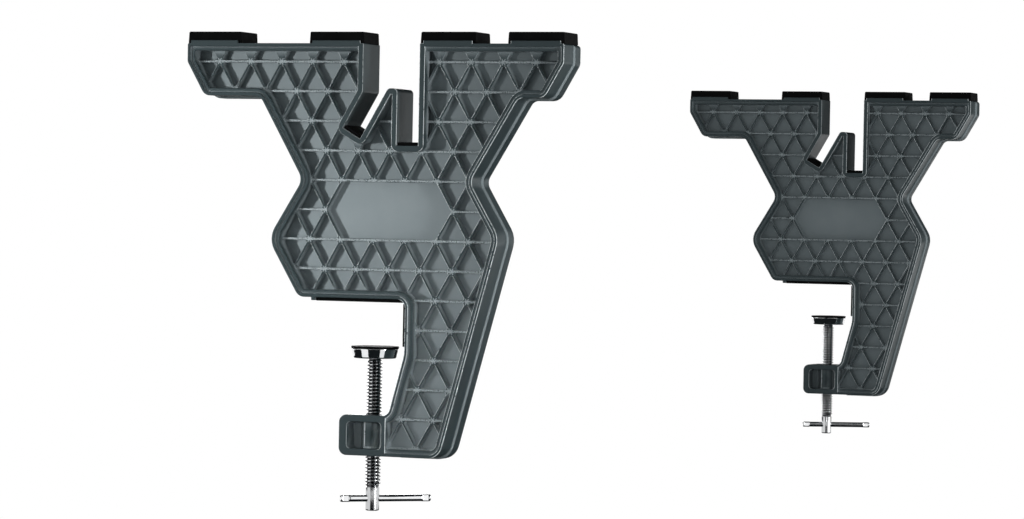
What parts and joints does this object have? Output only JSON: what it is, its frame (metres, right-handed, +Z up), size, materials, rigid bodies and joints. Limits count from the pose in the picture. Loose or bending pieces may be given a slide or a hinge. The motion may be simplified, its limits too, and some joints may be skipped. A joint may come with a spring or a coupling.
{
  "type": "ski tuning vise",
  "caption": "Clamp-on tuning vise stands, ribbed plate frames with padded tops and slots, each with a screw clamp, a foot and a sliding T bar.",
  "frame": {"origin": "middle of the underside of the near stand's seat pad, which rests on the clamped edge", "axes": "+Z up, +X across the frames towards the clamp's closed side, +Y through the near frame to the far one"},
  "size_m": [0.2399, 0.9859, 0.2795],
  "materials": {
    "frame_plastic": "moulded satin",
    "pad_rubber": "matt",
    "plated_steel": "bright plated"
  },
  "bodies": {
    "stands": {"frame_near": "frame_plastic", "top_pad_a_near": "pad_rubber", "top_pad_b_near": "pad_rubber", "top_pad_c_near": "pad_rubber", "top_pad_d_near": "pad_rubber", "slot_pad_near": "pad_rubber", "slant_pad_near": "pad_rubber", "seat_pad_near": "pad_rubber", "edge_pad_near": "pad_rubber", "frame_far": "frame_plastic", "top_pad_a_far": "pad_rubber", "top_pad_b_far": "pad_rubber", "top_pad_c_far": "pad_rubber", "top_pad_d_far": "pad_rubber", "slot_pad_far": "pad_rubber", "slant_pad_far": "pad_rubber", "seat_pad_far": "pad_rubber", "edge_pad_far": "pad_rubber"},
    "foot_near": {"foot_cup_near": "plated_steel", "foot_pad_near": "pad_rubber"},
    "screw_near": {"screw_near": "plated_steel"},
    "bar_near": {"tee_bar_near": "plated_steel"},
    "foot_far": {"foot_cup_far": "plated_steel", "foot_pad_far": "pad_rubber"},
    "screw_far": {"screw_far": "plated_steel"},
    "bar_far": {"tee_bar_far": "plated_steel"}
  },
  "joints": [
    {"name": "foot_slide_near", "type": "slide", "parent": "stands", "child": "foot_near", "axis": [0, 0, 1], "range_m": [-0.032, 0.0175]},
    {"name": "screw_turn_near", "type": "hinge", "parent": "foot_near", "child": "screw_near", "pos_m": [0.0058, 0, -0.115], "axis": [0, 0, 1], "range_deg": [-5765, 3155]},
    {"name": "bar_slide_near", "type": "slide", "parent": "screw_near", "child": "bar_near", "axis": [0.766, 0.6428, 0], "range_m": [-0.0252, 0.0092]},
    {"name": "foot_slide_far", "type": "slide", "parent": "stands", "child": "foot_far", "axis": [0, 0, 1], "range_m": [-0.032, 0.0175]},
    {"name": "screw_turn_far", "type": "hinge", "parent": "foot_far", "child": "screw_far", "pos_m": [0.0058, 0.954, -0.115], "axis": [0, 0, 1], "range_deg": [-5765, 3155]},
    {"name": "bar_slide_far", "type": "slide", "parent": "screw_far", "child": "bar_far", "axis": [0.891, 0.454, 0], "range_m": [-0.0252, 0.0092]}
  ],
  "couplings": [
    {"joint": "screw_turn_near", "follows": "foot_slide_near", "rad_per_m": 3141.6},
    {"joint": "screw_turn_far", "follows": "foot_slide_far", "rad_per_m": 3141.6}
  ]
}
